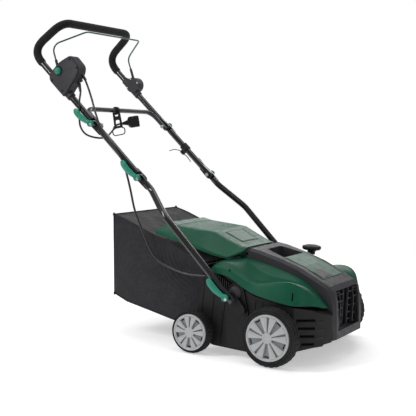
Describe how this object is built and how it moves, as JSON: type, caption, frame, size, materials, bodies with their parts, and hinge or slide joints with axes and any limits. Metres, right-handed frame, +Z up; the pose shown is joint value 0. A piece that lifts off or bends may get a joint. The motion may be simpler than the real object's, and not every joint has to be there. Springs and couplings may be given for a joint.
{
  "type": "lawn dethatcher",
  "caption": "Walk-behind electric dethatcher: spring-tine rotor in a wheeled deck, folding handle, rear cloth bag, start bail and depth lever.",
  "frame": {"origin": "on the floor, under the middle of the overall length and width", "axes": "+X forward to the nose, +Y the operator's left, +Z up"},
  "size_m": [1.1178, 0.6, 1.0388],
  "materials": {
    "black_plastic": "fine moulded grain",
    "grey_plastic": "satin moulded",
    "green_plastic": "gloss moulded",
    "green_lever": "satin moulded",
    "green_wire": "coated wire",
    "black_steel": "gloss powder coat",
    "grey_steel": "satin powder coat",
    "motor_steel": "satin",
    "bare_steel": "zinc plated",
    "silver_plastic": "silver paint",
    "tyre_rubber": "matt",
    "cord_rubber": "satin",
    "foam_rubber": "open foam skin",
    "bag_cloth": "plain weave"
  },
  "bodies": {
    "deck": {"deck_housing": "black_plastic", "belt_cover": "black_plastic", "shaft_dome": "grey_plastic", "top_cover": "green_plastic", "nose_arch": "grey_plastic", "centre_panel": "green_plastic", "front_grille": "black_plastic", "motor_body": "motor_steel", "drive_belt": "cord_rubber", "rotor_bearing_right": "bare_steel", "rotor_bearing_left": "bare_steel", "rear_axle": "bare_steel", "flap_hinge_rod": "bare_steel", "deck_bracket_right": "black_steel", "deck_bracket_left": "black_steel", "motor_cable": "cord_rubber"},
    "motor_rotor": {"motor_shaft": "bare_steel"},
    "tine_rotor": {"rotor_pulley": "bare_steel", "tine_shaft": "bare_steel", "tine_carrier": "bare_steel"},
    "depth_axle": {"front_axle": "bare_steel", "depth_lever": "black_steel", "depth_knob": "black_plastic"},
    "flap": {"rear_flap": "green_plastic"},
    "grass_bag": {"bag_fabric": "bag_cloth", "bag_frame": "black_steel"},
    "lower_handle": {"lower_tube_right": "black_steel", "lower_tube_left": "black_steel", "middle_bolt_right": "bare_steel", "middle_bolt_left": "bare_steel"},
    "middle_handle": {"middle_tube_right": "black_steel", "middle_tube_left": "black_steel", "crossbar": "grey_steel", "upper_bolt_right": "bare_steel", "upper_bolt_left": "bare_steel", "cable_clip": "black_plastic"},
    "upper_handle_group": {"upper_handle": "black_steel", "foam_grip": "foam_rubber", "switch_box": "grey_plastic", "bail_pivot_holder": "grey_plastic", "pigtail_cord": "cord_rubber"},
    "start_bail": {"bail": "green_wire"},
    "safety_button": {"lock_button": "green_lever"},
    "retainer": {"cord_retainer": "black_plastic", "plug": "black_plastic"},
    "front_wheel_right": {"front_tyre_right": "tyre_rubber", "front_wheel_disc_right": "silver_plastic"},
    "rear_wheel_right": {"rear_tyre_right": "tyre_rubber", "rear_wheel_disc_right": "silver_plastic"},
    "upper_cam_right": {"upper_cam_lever_right": "green_lever"},
    "middle_cam_right": {"middle_cam_lever_right": "green_lever"},
    "deck_cam_right": {"deck_cam_lever_right": "green_lever"},
    "front_wheel_left": {"front_tyre_left": "tyre_rubber", "front_wheel_disc_left": "silver_plastic"},
    "rear_wheel_left": {"rear_tyre_left": "tyre_rubber", "rear_wheel_disc_left": "silver_plastic"},
    "upper_cam_left": {"upper_cam_lever_left": "green_lever"},
    "middle_cam_left": {"middle_cam_lever_left": "green_lever"},
    "deck_cam_left": {"deck_cam_lever_left": "green_lever"}
  },
  "joints": [
    {"name": "tine_rotor_spin", "type": "hinge", "parent": "deck", "child": "tine_rotor", "pos_m": [0.3, 0, 0.08], "axis": [0, 1, 0], "continuous": true},
    {"name": "motor_spin", "type": "hinge", "parent": "deck", "child": "motor_rotor", "pos_m": [0.284, 0, 0.201], "axis": [0, 1, 0], "continuous": true},
    {"name": "depth_lever_tilt", "type": "hinge", "parent": "deck", "child": "depth_axle", "pos_m": [0.385, 0, 0.104], "axis": [0, 1, 0], "range_deg": [0, 16]},
    {"name": "rear_flap_hinge", "type": "hinge", "parent": "deck", "child": "flap", "pos_m": [0.222, 0, 0.312], "axis": [0, 1, 0], "range_deg": [0, 55], "stiffness_Nm_per_rad": 0.8, "springref_deg": -17.19},
    {"name": "bag_slide", "type": "slide", "parent": "deck", "child": "grass_bag", "axis": [-1, 0, 0], "range_m": [0, 0.15]},
    {"name": "lower_handle_fold", "type": "hinge", "parent": "deck", "child": "lower_handle", "pos_m": [0.277, 0, 0.186], "axis": [0, 1, 0], "range_deg": [0, 60], "deforming": ["motor_cable"]},
    {"name": "middle_handle_fold", "type": "hinge", "parent": "lower_handle", "child": "middle_handle", "pos_m": [-0.09, 0, 0.521], "axis": [0, -1, 0], "range_deg": [-115, 0], "deforming": ["motor_cable"]},
    {"name": "upper_handle_fold", "type": "hinge", "parent": "middle_handle", "child": "upper_handle_group", "pos_m": [-0.282, 0, 0.686], "axis": [0, 1, 0], "range_deg": [0, 115], "deforming": ["motor_cable", "pigtail_cord"]},
    {"name": "start_bail_pivot", "type": "hinge", "parent": "upper_handle_group", "child": "start_bail", "pos_m": [-0.432, 0, 0.836], "axis": [0, -1, 0], "range_deg": [0, 20], "stiffness_Nm_per_rad": 1.2, "springref_deg": -14.32},
    {"name": "safety_button_press", "type": "slide", "parent": "upper_handle_group", "child": "safety_button", "axis": [0, 1, 0], "range_m": [0, 0.005], "stiffness_N_per_m": 400, "springref_m": -0.002},
    {"name": "retainer_swing", "type": "hinge", "parent": "middle_handle", "child": "retainer", "pos_m": [-0.34116, -0.024, 0.73684], "axis": [0, 1, 0], "range_deg": [-15, 15], "deforming": ["pigtail_cord"]},
    {"name": "front_wheel_right_spin", "type": "hinge", "parent": "depth_axle", "child": "front_wheel_right", "pos_m": [0.422, -0.275, 0.09], "axis": [0, 1, 0], "continuous": true},
    {"name": "rear_wheel_right_spin", "type": "hinge", "parent": "deck", "child": "rear_wheel_right", "pos_m": [0.1575, -0.275, 0.0665], "axis": [0, 1, 0], "continuous": true},
    {"name": "upper_cam_right_release", "type": "hinge", "parent": "middle_handle", "child": "upper_cam_right", "pos_m": [-0.282, -0.2449, 0.686], "axis": [0.6518, 0, 0.7584], "range_deg": [0, 100]},
    {"name": "middle_cam_right_release", "type": "hinge", "parent": "lower_handle", "child": "middle_cam_right", "pos_m": [-0.09, -0.2449, 0.521], "axis": [0.6518, 0, 0.7584], "range_deg": [0, 100]},
    {"name": "deck_cam_right_release", "type": "hinge", "parent": "deck", "child": "deck_cam_right", "pos_m": [0.277, -0.2921, 0.186], "axis": [0.6518, 0, 0.7584], "range_deg": [0, 100]},
    {"name": "front_wheel_left_spin", "type": "hinge", "parent": "depth_axle", "child": "front_wheel_left", "pos_m": [0.422, 0.275, 0.09], "axis": [0, 1, 0], "continuous": true},
    {"name": "rear_wheel_left_spin", "type": "hinge", "parent": "deck", "child": "rear_wheel_left", "pos_m": [0.1575, 0.275, 0.0665], "axis": [0, 1, 0], "continuous": true},
    {"name": "upper_cam_left_release", "type": "hinge", "parent": "middle_handle", "child": "upper_cam_left", "pos_m": [-0.282, 0.2449, 0.686], "axis": [-0.6518, 0, -0.7584], "range_deg": [0, 100]},
    {"name": "middle_cam_left_release", "type": "hinge", "parent": "lower_handle", "child": "middle_cam_left", "pos_m": [-0.09, 0.2449, 0.521], "axis": [-0.6518, 0, -0.7584], "range_deg": [0, 100]},
    {"name": "deck_cam_left_release", "type": "hinge", "parent": "deck", "child": "deck_cam_left", "pos_m": [0.277, 0.2921, 0.186], "axis": [-0.6518, 0, -0.7584], "range_deg": [0, 100]}
  ],
  "couplings": [
    {"joint": "motor_spin", "follows": "tine_rotor_spin", "ratio": 2.1852}
  ]
}
